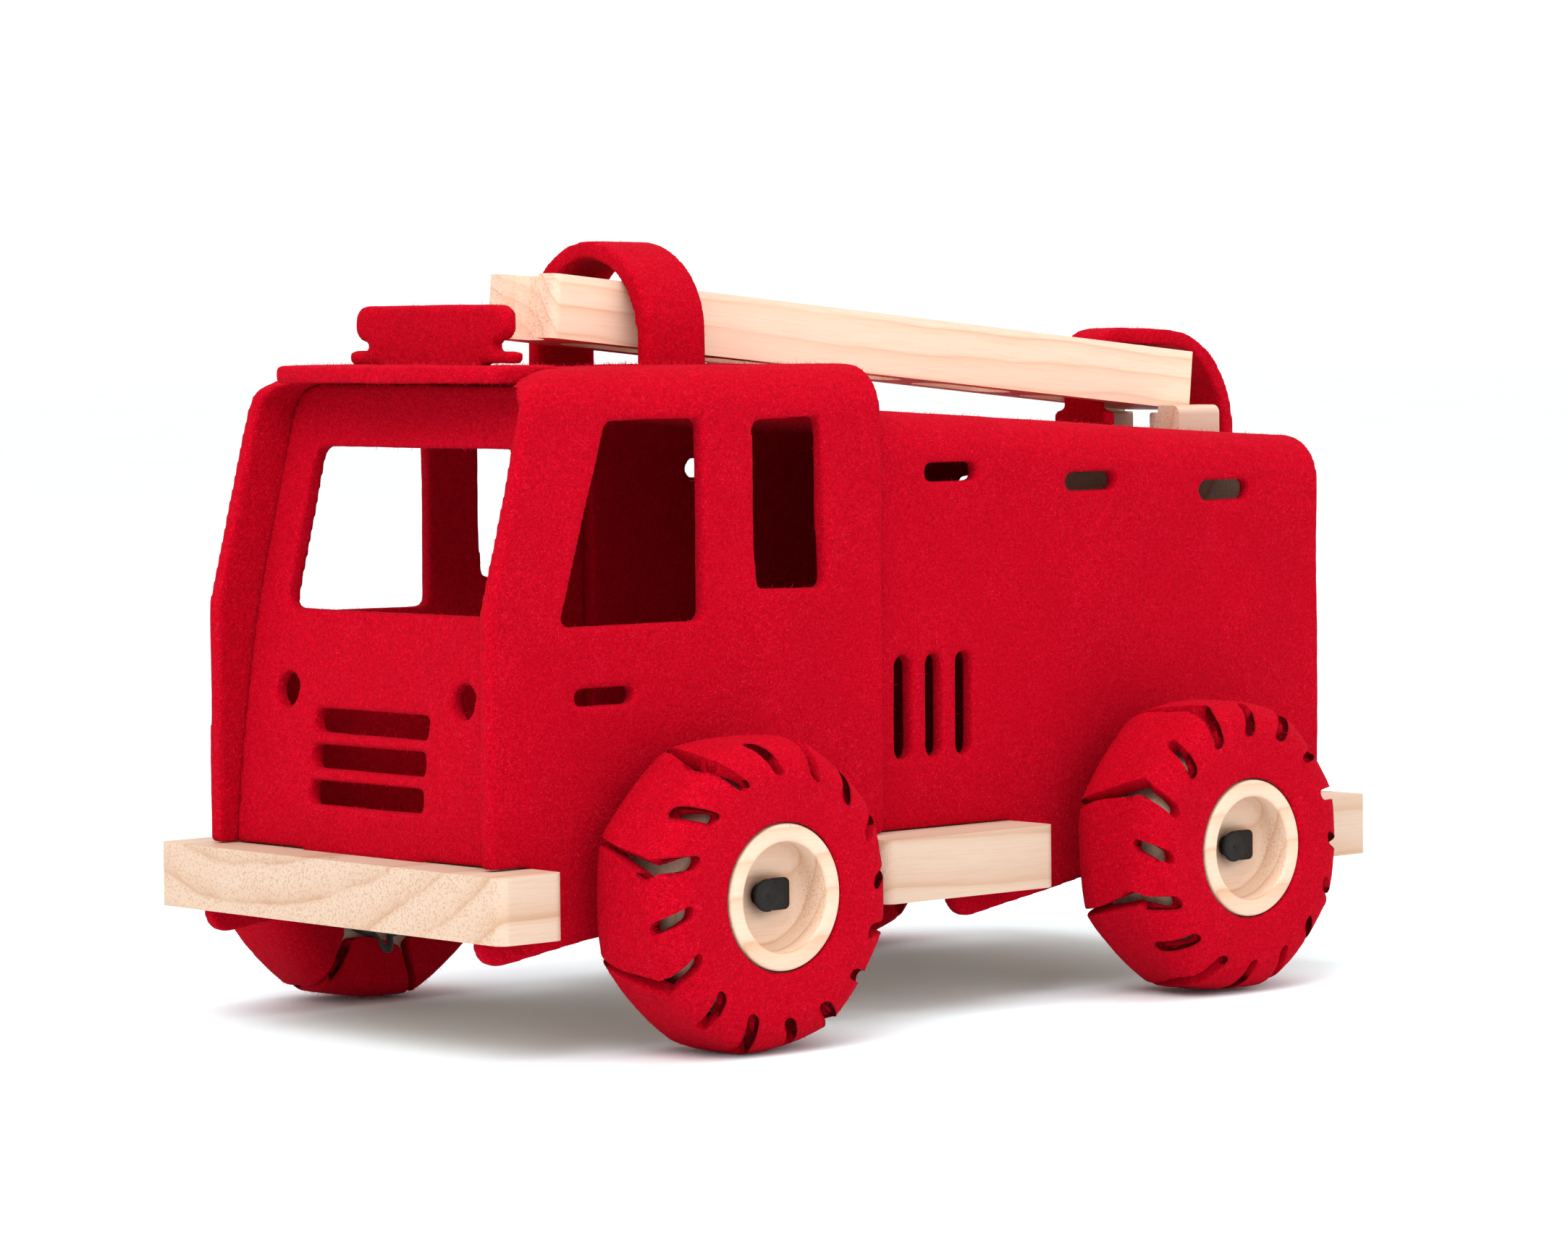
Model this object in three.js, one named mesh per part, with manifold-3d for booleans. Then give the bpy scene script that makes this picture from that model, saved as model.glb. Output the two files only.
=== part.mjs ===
// Toy fire engine: a pine chassis board on four felt-tyred wheels, with a cab and a body
// bent from thick wool felt, and a one-piece pine ladder held on the roof by felt straps.
// Millimetres. +X is forward, +Y the vehicle's left, +Z up, the ground is at Z = 0.
import * as THREE from 'three';
import { mergeVertices } from 'three/addons/utils/BufferGeometryUtils.js';
import Module from 'manifold-3d';

const wasm = await Module();
wasm.setup();

// ---- driving dimensions -------------------------------------------------------------------
const BOARD = 21;            // thickness of every pine board
const FELT = 5.5;            // thickness of every felt sheet
const GAP = 0.3;             // clearance between touching pieces
const FRONT = 207.5;         // X of the chassis board's front face

// Lengths along the vehicle are stations: distances behind the front face.
const FRONT_AXLE = 90;
const REAR_AXLE = 304;
const BOARD_LENGTH = 397;
const BUMPER = 26;           // length of the front and rear bumper lugs
const STEP = [163, 240.5];   // running-board lug
const LUG_HALF = 89;         // half width over the lugs

const CAB_HALF = 73;         // half width over the cab felt
const CAB_TOP = 216;
const CAB_REAR = 177;
const CAB_ROOF_FRONT = 58.2;
const BODY_HALF = CAB_HALF - FELT - GAP;
const BODY_FRONT = 166;
const BODY_REAR = 395.5;
const BODY_TOP = 201.7;      // roof height at the body's front edge
const BODY_SLOPE = 0.062;    // the body roof falls this much per millimetre to the rear
// How much further back the right side's locker slots sit than the left side's.
const LOCKER_SETBACK = 7.5;
const CORNER = 15.5;         // outer radius of the felt's roof corners

const WHEEL_R = 50;
const TYRE_FACE = 120;       // Y of the tyres' outer faces
const TYRE_WIDTH = 40;
const AXLE_R = 3;
const HUB_BORE = 3.4;
const BOSS_R = 23.2;
const DISC_R = 43.1;
const RECESS_R = 17.5;
const RECESS_DEPTH = 13;

const AXLE_Z = WHEEL_R;
const BOARD_Z = [AXLE_Z - BOARD / 2, AXLE_Z + BOARD / 2];
const DECK = BOARD_Z[1] + GAP;      // what stands on the board starts here
const FRONT_WAIST = CAB_HALF - FELT - GAP;
const REAR_WAIST = BODY_HALF - FELT - GAP;

const BULKHEAD = [364.4, 385.4];
const TAB_Y = [14.3, 28.8];  // the two tabs that rise through the body roof
const TAB_TOP = 198.5;       // their outer cheeks, beside the ladder
const TAB_SEAT = 195.9;      // the lower inner step that the ladder rests on
const REAR_PANEL = BULKHEAD[1] + GAP;
const HOOK_LEVEL = 153;      // height at which the ladder's rear strap passes through the panel
const DOWEL_R = 4;
const DOWEL_Y = 42;

const PANEL_FOOT = 15.5;     // station of the front panel's outer face at the deck
const PANEL_TOP_Z = CAB_TOP - FELT;
const VISOR_HALF = 56.5;
const FOOT_HALF = 31;        // half width of the front panel's foot in the board
const PILOT = [6, 2];        // station and offset to the right of the small hole in the bumper

const LADDER_LENGTH = 302;
const LADDER_HALF = 17.6;
const RAIL = 8.6;            // width of one ladder rail
const RUNG = 12;             // narrowest part of a rung
const OPENING = 41.5;         // length of one ladder opening
const LADDER_MID = [234, 221.4];    // station and height of the ladder's middle
const LADDER_SLOPE = 0.0963;

const LOOP = [112, 138];     // the strap over the ladder's front end
const LOOP_HALF = 31;
const LOOP_SPRING = 225.8;   // height where its legs turn into the half circle
const HOOK_HALF = 8.3;       // half width of the strap over the ladder's last rung
const SEGMENTS = 32;

const felt = { color: 0xc4001c, roughness: 0.95, metalness: 0 };
const pine = { color: 0xecd2b2, roughness: 0.6, metalness: 0 };
const black = { color: 0x2b2422, roughness: 0.5, metalness: 0 };
const steel = { color: 0xb9bcc0, roughness: 0.3, metalness: 1 };

// ---- solids -------------------------------------------------------------------------------
const engine = new THREE.Group();
const X = (station) => FRONT - station;

function solid(geometry) {
  const bare = geometry.clone();
  bare.deleteAttribute('normal');
  bare.deleteAttribute('uv');
  const merged = mergeVertices(bare, 1e-4);
  return new wasm.Manifold(new wasm.Mesh({
    numProp: 3,
    vertProperties: new Float32Array(merged.attributes.position.array),
    triVerts: new Uint32Array(merged.index.array),
  }));
}

function addPiece(name, body, finish) {
  const { vertProperties, triVerts } = body.getMesh();
  const geometry = new THREE.BufferGeometry();
  geometry.setAttribute('position', new THREE.BufferAttribute(vertProperties, 3));
  geometry.setIndex(new THREE.BufferAttribute(triVerts, 1));
  const mesh = new THREE.Mesh(geometry, new THREE.MeshStandardMaterial(finish));
  mesh.name = name;
  engine.add(mesh);
  return mesh;
}

// A closed outline from corners [u, v, radius]; each corner is a tangent arc.
function outline(corners) {
  const shape = new THREE.Shape();
  const at = corners.map(([u, v]) => new THREE.Vector2(u, v));
  at.forEach((corner, i) => {
    const before = at[(i + at.length - 1) % at.length].clone().sub(corner);
    const after = at[(i + 1) % at.length].clone().sub(corner);
    const radius = corners[i][2] ?? 0;
    if (radius === 0) {
      shape[i === 0 ? 'moveTo' : 'lineTo'](corner.x, corner.y);
      return;
    }
    const half = Math.acos(before.dot(after) / (before.length() * after.length())) / 2;
    const reach = radius / Math.tan(half);
    const start = corner.clone().add(before.setLength(reach));
    const end = corner.clone().add(after.setLength(reach));
    const toCentre = start.clone().add(end).sub(corner.clone().multiplyScalar(2));
    const centre = corner.clone().add(toCentre.setLength(radius / Math.sin(half)));
    const from = start.clone().sub(centre).angle();
    const to = end.clone().sub(centre).angle();
    const clockwise = before.cross(after) > 0;
    shape[i === 0 ? 'moveTo' : 'lineTo'](start.x, start.y);
    shape.absarc(centre.x, centre.y, radius, from, to, clockwise);
  });
  return shape;
}

const rectangle = (u0, v0, u1, v1, radius = 0) => outline([
  [u0, v0, radius], [u1, v0, radius], [u1, v1, radius], [u0, v1, radius]]);
const stationed = (corners) => outline(corners.map(([s, v, radius]) => [X(s), v, radius]));

function circle(u, v, radius) {
  const shape = new THREE.Shape();
  shape.absarc(u, v, radius, 0, 2 * Math.PI);
  return shape;
}

function extruded(shape, depth, curveSegments = 6) {
  return new THREE.ExtrudeGeometry(shape, { depth, bevelEnabled: false, curveSegments });
}

// Outline in X and Z, from yLow to yHigh.
function acrossY(shape, yLow, yHigh, detail) {
  return solid(extruded(shape, yHigh - yLow, detail).rotateX(Math.PI / 2).translate(0, yHigh, 0));
}

// Outline in Y and Z, from station s0 back to station s1.
function alongX(shape, s0, s1, detail) {
  const turn = new THREE.Matrix4().makeBasis(
    new THREE.Vector3(0, 1, 0), new THREE.Vector3(0, 0, 1), new THREE.Vector3(1, 0, 0));
  return solid(extruded(shape, s1 - s0, detail).applyMatrix4(turn).translate(X(s1), 0, 0));
}

// Outline in X and Y, from zLow to zHigh.
function upZ(shape, zLow, zHigh, detail) {
  return solid(extruded(shape, zHigh - zLow, detail).translate(0, 0, zLow));
}

// A ring or rod around the Y axis from a closed outline of [radius, y] points.
function turned(profile) {
  const points = [...profile, profile[0]].map(([r, y]) => new THREE.Vector2(r, y));
  const counterclockwise = THREE.ShapeUtils.area(points) > 0;
  return solid(new THREE.LatheGeometry(counterclockwise ? points : points.reverse(), SEGMENTS));
}

const mirroredInY = (body) => body.add(body.mirror([0, 1, 0]));

// ---- chassis ------------------------------------------------------------------------------
function chassisBoard() {
  const side = [
    [0, LUG_HALF, 4], [BUMPER, LUG_HALF, 4], [BUMPER, FRONT_WAIST], [STEP[0], FRONT_WAIST],
    [STEP[0], LUG_HALF, 4], [STEP[1], LUG_HALF, 4], [STEP[1], REAR_WAIST],
    [BOARD_LENGTH - BUMPER, REAR_WAIST], [BOARD_LENGTH - BUMPER, LUG_HALF, 4],
    [BOARD_LENGTH, LUG_HALF, 4],
  ];
  const otherSide = side.map(([s, y, radius]) => [s, -y, radius]).reverse();
  let board = upZ(stationed([...side, ...otherSide]), ...BOARD_Z, 4);
  for (const station of [FRONT_AXLE, REAR_AXLE]) {
    const bore = circle(X(station), AXLE_Z, AXLE_R + GAP);
    board = board.subtract(acrossY(bore, -LUG_HALF, LUG_HALF));
  }
  for (const side of [-1, 1]) {
    const bore = circle(X((BULKHEAD[0] + BULKHEAD[1]) / 2), side * DOWEL_Y, DOWEL_R + GAP);
    board = board.subtract(upZ(bore, AXLE_Z, BOARD_Z[1] + 1));
  }
  const footSlot = rectangle(X(PANEL_FOOT + FELT) - GAP, -FOOT_HALF - GAP, X(PANEL_FOOT) + GAP,
    FOOT_HALF + GAP);
  board = board.subtract(upZ(footSlot, BOARD_Z[0] - 1, BOARD_Z[1] + 1));
  return board.subtract(upZ(circle(X(PILOT[0]), -PILOT[1], 1.7), BOARD_Z[0] - 1, BOARD_Z[1] + 1));
}

// The opening that the ladder's rear strap passes through, in the bulkhead and in the panel.
function hookSlot() {
  const half = FELT / 2 + 2 * GAP;
  const section = rectangle(-HOOK_HALF - 2 * GAP, HOOK_LEVEL - half, HOOK_HALF + 2 * GAP,
    HOOK_LEVEL + half, 2);
  return alongX(section, BULKHEAD[0] - 1, REAR_PANEL + FELT + 1, 3);
}

function bulkhead() {
  const top = BODY_TOP - BODY_SLOPE * (BULKHEAD[1] - BODY_FRONT) - FELT - GAP;
  const radius = CORNER - FELT;
  let board = alongX(rectangle(-REAR_WAIST, top - 30, REAR_WAIST, top, radius), ...BULKHEAD);
  board = board.add(alongX(rectangle(-REAR_WAIST, DECK, REAR_WAIST, top - 15), ...BULKHEAD));
  const tab = outline([[TAB_Y[0], top - 5], [TAB_Y[1], top - 5], [TAB_Y[1], TAB_TOP, 3],
    [LADDER_HALF + 0.8, TAB_TOP, 0.5], [LADDER_HALF + 0.8, TAB_SEAT], [TAB_Y[0], TAB_SEAT, 1]]);
  board = board.add(mirroredInY(alongX(tab, ...BULKHEAD, 3)));
  board = board.subtract(hookSlot());
  const bore = circle(X((BULKHEAD[0] + BULKHEAD[1]) / 2), DOWEL_Y, DOWEL_R + GAP);
  return board.subtract(mirroredInY(upZ(bore, DECK - 1, DECK + 15)));
}

function rearPanel() {
  const top = BODY_TOP - BODY_SLOPE * (REAR_PANEL + FELT - BODY_FRONT) - FELT - 2 * GAP;
  const face = outline([[-REAR_WAIST, DECK], [REAR_WAIST, DECK], [REAR_WAIST, top, CORNER - FELT],
    [-REAR_WAIST, top, CORNER - FELT]]);
  return alongX(face, REAR_PANEL, REAR_PANEL + FELT).subtract(hookSlot());
}

function dowel(y) {
  const section = circle(X((BULKHEAD[0] + BULKHEAD[1]) / 2), y, DOWEL_R);
  return upZ(section, AXLE_Z + GAP, DECK + 14);
}

// ---- felt bodywork ------------------------------------------------------------------------
// The inverted U of a felt sheet bent over the vehicle, between two stations.
function feltArch(half, top, s0, s1) {
  const low = 20;
  const inner = half - FELT;
  const arch = outline([
    [-half, low], [-half, top, CORNER], [half, top, CORNER], [half, low],
    [inner, low], [inner, top - FELT, CORNER - FELT], [-inner, top - FELT, CORNER - FELT],
    [-inner, low]]);
  return alongX(arch, s0, s1, 5);
}

// Clearance for an axle and its spacer in the lower edge of a felt side.
function axleArch(station) {
  const shape = new THREE.Shape();
  shape.moveTo(X(station) - 12, 20);
  shape.lineTo(X(station) - 12, AXLE_Z);
  shape.absarc(X(station), AXLE_Z, 12, Math.PI, 0, true);
  shape.lineTo(X(station) + 12, 20);
  return acrossY(shape, -LUG_HALF, LUG_HALF);
}

function cabShell() {
  const sides = stationed([
    [9.4, DECK, 1], [10, 139, 12], [28.5, 209, 3], [40, 214.5, 4], [CAB_ROOF_FRONT, CAB_TOP + 2],
    [CAB_REAR, CAB_TOP + 2], [CAB_REAR, DECK, 2], [118, DECK, 4], [110, 45, 6], [66, 38.5, 3],
    [5.8, 30, 7], [5.8, BOARD_Z[0] - GAP], [BUMPER + GAP, BOARD_Z[0] - GAP], [BUMPER + GAP, DECK]]);
  const frontWindow = stationed([[58.6, 199, 3], [98.5, 199.5, 3], [98.7, 134.7, 3], [38.4, 134.9, 3]]);
  const rearWindow = stationed([[120, 198.5, 3], [149.8, 199, 3], [151.8, 143.2, 3], [121.5, 143.8, 3]]);
  const doorHandle = rectangle(X(69), 110, X(44.5), 115.3, 2.5);
  let shell = feltArch(CAB_HALF, CAB_TOP, 5, CAB_REAR);
  shell = shell.intersect(acrossY(sides, -CAB_HALF - 1, CAB_HALF + 1, 3));
  for (const hole of [frontWindow, rearWindow, doorHandle]) {
    shell = shell.subtract(acrossY(hole, -CAB_HALF - 1, CAB_HALF + 1, 3));
  }
  const visorNotch = rectangle(X(CAB_ROOF_FRONT), -VISOR_HALF - GAP, FRONT, VISOR_HALF + GAP);
  shell = shell.subtract(upZ(visorNotch, CAB_TOP - FELT - 2, CAB_TOP + 2));
  const strapSlot = rectangle(X(LOOP[1]) - GAP, LOOP_HALF - FELT - GAP, X(LOOP[0]) + GAP,
    LOOP_HALF + GAP);
  shell = shell.subtract(mirroredInY(upZ(strapSlot, CAB_TOP - 10, CAB_TOP + 2)));
  return shell.subtract(axleArch(FRONT_AXLE));
}

function bodyShell() {
  const sides = stationed([
    [BODY_FRONT, BODY_TOP + 2], [BODY_FRONT, DECK, 1], [STEP[1] + GAP, DECK],
    [STEP[1] + GAP, BOARD_Z[0] - GAP], [213.5, BOARD_Z[0] - GAP], [213.5, 28.2, 8], [282, 39.5, 3],
    [326, 45, 6], [334, DECK, 4], [BODY_REAR, DECK, 2], [BODY_REAR, BODY_TOP + 2]]);
  const slope = new THREE.Matrix4().set(
    1, 0, 0, 0, 0, 1, 0, 0, BODY_SLOPE, 0, 1, -BODY_SLOPE * X(BODY_FRONT), 0, 0, 0, 1);
  let shell = feltArch(BODY_HALF, BODY_TOP, BODY_FRONT, BODY_REAR).transform(slope.elements);
  shell = shell.intersect(acrossY(sides, -BODY_HALF - 1, BODY_HALF + 1, 3));
  for (const [setBack, from, to] of [[0, 0, BODY_HALF + 1], [LOCKER_SETBACK, -BODY_HALF - 1, 0]]) {
    for (const station of [214.5, 281, 347.5]) {
      const middle = X(station + setBack);
      const level = 179.3 - 0.073 * (station + setBack - 214.5);
      const slot = rectangle(middle - 12.5, level - 3.3, middle + 12.5, level + 3.3, 3.2);
      shell = shell.subtract(acrossY(slot, from, to, 3));
    }
  }
  for (const station of [191.4, 205.5, 219.5]) {
    const slot = rectangle(X(station) - 3.7, 84, X(station) + 3.7, 119, 3.6);
    shell = shell.subtract(acrossY(slot, -BODY_HALF - 1, BODY_HALF + 1, 3));
  }
  const tabSlot = rectangle(X(BULKHEAD[1]) - GAP, TAB_Y[0] - GAP, X(BULKHEAD[0]) + GAP,
    TAB_Y[1] + GAP);
  shell = shell.subtract(mirroredInY(upZ(tabSlot, TAB_TOP - 25, TAB_TOP + 2)));
  return shell.subtract(axleArch(REAR_AXLE));
}

// The raked front panel: its side view is a bent strip of felt, its corners follow the cab.
function frontPanel() {
  const rake = new THREE.SplineCurve([[PANEL_FOOT, DECK], [19.5, 100], [26, 140], [36, 180], [44.5, 214]]
    .map(([s, z]) => new THREE.Vector2(X(s), z)));
  const outer = rake.getPoints(14);
  const inner = outer.map((point, i) => {
    const along = rake.getTangent(i / 14);
    return new THREE.Vector2(point.x - FELT * along.y, point.y + FELT * along.x);
  });
  const half = CAB_HALF - FELT - GAP;
  const face = rectangle(-half, DECK, half, PANEL_TOP_Z, 0);
  const cornered = outline([[-half, DECK], [half, DECK], [half, PANEL_TOP_Z, 10],
    [-half, PANEL_TOP_Z, 10]]);
  let panel = acrossY(new THREE.Shape([...outer, ...inner.reverse()]), -half, half);
  panel = panel.intersect(alongX(cornered, 0, 70)).intersect(alongX(face, 0, 70));
  panel = panel.subtract(alongX(rectangle(-51.5, 138, 51.5, 190.5, 5), 0, 70, 4));
  for (const level of [102.4, 90.9, 79.3]) {
    panel = panel.subtract(alongX(rectangle(-29.6, level - 4, 29.6, level + 4, 2.4), 0, 70, 3));
  }
  panel = panel.subtract(mirroredInY(alongX(circle(45.6, 111.5, 6), 0, 70)));
  const foot = rectangle(-FOOT_HALF, BOARD_Z[0] + 2, FOOT_HALF, DECK + 4);
  return panel.add(alongX(foot, PANEL_FOOT + 0.4, PANEL_FOOT + FELT));
}

// The flat visor with a bowed front edge; its tail dips under the cab roof.
function visor() {
  const top = CAB_TOP + 1;
  const under = top - FELT;
  const tail = CAB_TOP - FELT - GAP;
  const profile = stationed([[16, top], [52, top], [57.5, tail], [80, tail], [80, tail - FELT],
    [56.5, tail - FELT], [51, under], [16, under]]);
  const half = VISOR_HALF;
  const plan = new THREE.Shape();
  plan.moveTo(X(80), -half);
  plan.lineTo(X(28), -half);
  plan.quadraticCurveTo(X(26), -half, X(25.4), -half + 3);
  plan.quadraticCurveTo(X(16.6), 0, X(25.4), half - 3);
  plan.quadraticCurveTo(X(26), half, X(28), half);
  plan.lineTo(X(80), half);
  const slot = rectangle(X(51.1) - GAP, -25 - GAP, X(45.6) + GAP, 25 + GAP);
  return acrossY(profile, -half - 1, half + 1)
    .intersect(upZ(plan, under - 10, top + 1, 8))
    .subtract(upZ(slot, under - 10, top + 1));
}

// The upright light bar: a rounded head on a neck and a foot, with a tongue in the visor.
function lightBar() {
  const foot = CAB_TOP + 1 + GAP;
  const outlines = [
    rectangle(-39, 224.3, 39, 236.3, 5.8), rectangle(-31.5, 220, 31.5, 226),
    rectangle(-41.8, foot, 41.8, 221.5, 1.5), rectangle(-25, foot - FELT, 25, 219)];
  return outlines.map((shape) => alongX(shape, 45.6, 45.6 + FELT))
    .reduce((joined, next) => joined.add(next));
}

// ---- ladder and its straps ----------------------------------------------------------------
// Cut from one board: openings with round ends, and a round bite between the front rail ends.
function ladder() {
  const half = LADDER_LENGTH / 2;
  const gapHalf = LADDER_HALF - RAIL;
  const plan = outline([[-half, -LADDER_HALF, 3], [half, -LADDER_HALF, 3], [half, LADDER_HALF, 3],
    [-half, LADDER_HALF, 3]]);
  let board = upZ(plan, -BOARD / 2, BOARD / 2, 3);
  board = board.subtract(upZ(circle(half, 0, gapHalf), -BOARD, BOARD, 6));
  let front = half - gapHalf - RUNG;
  while (front - OPENING > -half) {
    const opening = rectangle(front - OPENING, -gapHalf, front, gapHalf, gapHalf - 0.05);
    board = board.subtract(upZ(opening, -BOARD, BOARD));
    front -= OPENING + RUNG;
  }
  return board;
}

function ladderLoop() {
  const shape = new THREE.Shape();
  const foot = CAB_TOP - FELT - 11;
  const inner = LOOP_HALF - FELT;
  shape.moveTo(LOOP_HALF, foot);
  shape.lineTo(LOOP_HALF, LOOP_SPRING);
  shape.absarc(0, LOOP_SPRING, LOOP_HALF, 0, Math.PI, false);
  shape.lineTo(-LOOP_HALF, foot);
  shape.lineTo(-inner, foot);
  shape.lineTo(-inner, LOOP_SPRING);
  shape.absarc(0, LOOP_SPRING, inner, Math.PI, 0, true);
  shape.lineTo(inner, foot);
  return alongX(shape, ...LOOP, 14);
}

// A strip of felt: out of the bulkhead, up behind the body, over the ladder's last rung and down
// through its last opening. Rounded ears at both ends keep it from pulling out.
function ladderHook() {
  const route = new THREE.SplineCurve([
    [352, 153], [360, 153], [368, 153], [376, 153], [384, 153], [390, 153], [395, 154.2],
    [404, 162], [410.7, 175], [412.2, 190], [408.8, 204], [400.5, 215.2], [389.5, 221.6],
    [375, 223.2], [363, 223.6], [354, 223.6], [348, 221.1], [345.5, 215], [345.5, 207], [345.5, 199],
    [345.5, 191]]
    .map(([s, z]) => new THREE.Vector2(X(s), z)));
  const steps = 60;
  const side = (offset) => route.getPoints(steps).map((point, i) => {
    const along = route.getTangent(i / steps);
    return new THREE.Vector2(point.x + offset * along.y, point.y - offset * along.x);
  });
  const strip = new THREE.Shape([...side(FELT / 2), ...side(-FELT / 2).reverse()]);
  const thick = FELT / 2 - 0.1;
  const upperEar = rectangle(0, 191.1, 13.5, 197, 2.5);
  const lowerEar = rectangle(X(359), 0, X(352.1), 13.5, 2.5);
  return acrossY(strip, -HOOK_HALF, HOOK_HALF)
    .add(mirroredInY(alongX(upperEar, 345.5 - thick, 345.5 + thick)))
    .add(mirroredInY(upZ(lowerEar, HOOK_LEVEL - thick, HOOK_LEVEL + thick)));
}

// ---- wheels -------------------------------------------------------------------------------
const outward = (depth) => TYRE_FACE - depth;

function wheelDisc() {
  const back = TYRE_WIDTH - FELT - 0.4;
  const front = FELT + 0.4;
  return turned([
    [HUB_BORE, RECESS_DEPTH], [14, RECESS_DEPTH], [16.4, 12.2], [RECESS_R, 9.8], [RECESS_R, 0.5],
    [RECESS_R + 0.5, 0], [BOSS_R - 0.6, 0], [BOSS_R, 0.6], [BOSS_R, front], [DISC_R - 0.8, front],
    [DISC_R, front + 0.8], [DISC_R, back - 0.8], [DISC_R - 0.8, back], [HUB_BORE, back],
  ].map(([r, depth]) => [r, outward(depth)]));
}

// Felt wrapped over the disc's face and tread and folded in over the rim of its back.
function tyre() {
  const hole = BOSS_R + 0.4;
  const seat = DISC_R + GAP;
  const lip = 32;
  return turned([
    [hole, 0.4], [hole + 1, 0], [37, 0], [42.5, 0.9], [46.6, 3.4], [49.2, 7.4], [WHEEL_R, 12],
    [WHEEL_R, 30], [49, 35], [46.5, 38.6], [43, TYRE_WIDTH], [lip, TYRE_WIDTH],
    [lip, TYRE_WIDTH - FELT], [seat, TYRE_WIDTH - FELT], [seat, FELT], [hole, FELT],
  ].map(([r, depth]) => [r, outward(depth)]));
}

function lacing() {
  const ring = new THREE.TorusGeometry(30.2, 1.3, 8, SEGMENTS).rotateX(Math.PI / 2);
  return solid(ring.translate(0, outward(TYRE_WIDTH - 3.2), 0));
}

// A round head with a flat-ended tongue behind it, pushed onto the axle's end.
function axleStop() {
  const floor = outward(RECESS_DEPTH) + GAP;
  const face = outward(8.2);
  const head = acrossY(circle(0, 0, 5.3), face - 1.6, face);
  const stem = acrossY(circle(0, 0, 4.2), floor, face - 1);
  const tongue = acrossY(outline([[-10, -5, 1.8], [-3, -5, 1], [-2, 0], [-3, 5, 1],
    [-10, 5, 1.8]]), floor, face - 1);
  return head.add(stem).add(tongue).subtract(acrossY(circle(0, 0, AXLE_R + GAP), floor - 1, floor + 2.6));
}

const spacer = (from) => turned([[HUB_BORE, from + GAP], [8, from + GAP],
  [8, outward(TYRE_WIDTH - FELT - 0.4) - GAP], [HUB_BORE, outward(TYRE_WIDTH - FELT - 0.4) - GAP]]);

function axle() {
  const end = outward(RECESS_DEPTH) + 2.4;
  return acrossY(circle(0, 0, AXLE_R), -end, end);
}

// ---- assembly -----------------------------------------------------------------------------
addPiece('chassis_board', chassisBoard(), pine);
addPiece('rear_bulkhead', bulkhead(), pine);
addPiece('rear_panel', rearPanel(), felt);
addPiece('bulkhead_dowel_left', dowel(DOWEL_Y), pine);
addPiece('bulkhead_dowel_right', dowel(-DOWEL_Y), pine);
addPiece('cab_shell', cabShell(), felt);
addPiece('front_panel', frontPanel(), felt);
addPiece('visor', visor(), felt);
addPiece('light_bar', lightBar(), felt);
addPiece('body_shell', bodyShell(), felt);
addPiece('ladder_loop', ladderLoop(), felt);
addPiece('ladder_hook', ladderHook(), felt);

const ladderMesh = addPiece('ladder', ladder(), pine);
ladderMesh.position.set(X(LADDER_MID[0]), 0, LADDER_MID[1]);
ladderMesh.rotation.y = -Math.atan(LADDER_SLOPE);

for (const [end, station, waist] of [['front', FRONT_AXLE, FRONT_WAIST], ['rear', REAR_AXLE, REAR_WAIST]]) {
  addPiece(`${end}_axle`, axle(), steel).position.set(X(station), 0, AXLE_Z);
  for (const side of ['left', 'right']) {
    const parts = [
      [`wheel_disc_${end}_${side}`, wheelDisc(), pine],
      [`tyre_${end}_${side}`, tyre(), felt],
      [`tyre_lacing_${end}_${side}`, lacing(), black],
      [`axle_stop_${end}_${side}`, axleStop(), black],
      [`wheel_spacer_${end}_${side}`, spacer(waist), pine],
    ];
    for (const [name, body, finish] of parts) {
      const placed = side === 'left' ? body : body.mirror([0, 1, 0]);
      addPiece(name, placed, finish).position.set(X(station), 0, AXLE_Z);
    }
  }
}

export default engine;
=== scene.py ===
"""Looks of the toy fire engine: thick red wool felt over a pine chassis, on laced felt tyres.

Metres in the CAD frame. Lengths written in millimetres are scaled by MM.
"""
import math
import random

import bmesh
import bpy
from mathutils import Matrix, Vector, noise


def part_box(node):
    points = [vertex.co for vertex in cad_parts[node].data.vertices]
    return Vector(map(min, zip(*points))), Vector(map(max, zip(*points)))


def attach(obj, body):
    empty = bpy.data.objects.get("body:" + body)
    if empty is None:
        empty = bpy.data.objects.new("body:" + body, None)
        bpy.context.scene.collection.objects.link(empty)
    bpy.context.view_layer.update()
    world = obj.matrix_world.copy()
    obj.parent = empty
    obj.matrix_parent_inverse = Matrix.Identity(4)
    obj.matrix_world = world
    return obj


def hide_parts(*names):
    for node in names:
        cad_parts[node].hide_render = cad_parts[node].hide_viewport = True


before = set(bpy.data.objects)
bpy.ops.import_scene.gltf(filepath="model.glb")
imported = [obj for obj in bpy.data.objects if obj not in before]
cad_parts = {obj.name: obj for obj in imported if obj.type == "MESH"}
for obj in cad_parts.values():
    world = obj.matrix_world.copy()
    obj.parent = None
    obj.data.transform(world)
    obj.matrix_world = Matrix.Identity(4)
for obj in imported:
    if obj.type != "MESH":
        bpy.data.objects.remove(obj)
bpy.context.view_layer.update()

MM = 0.001
ENDS = ("front", "rear")
SIDES = ("left", "right")
FELT_NODES = ("cab_shell", "front_panel", "visor", "light_bar", "body_shell", "rear_panel",
              "ladder_loop", "ladder_hook")
WOOD_NODES = ("chassis_board", "rear_bulkhead", "bulkhead_dowel_left", "bulkhead_dowel_right",
              "ladder")


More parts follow.
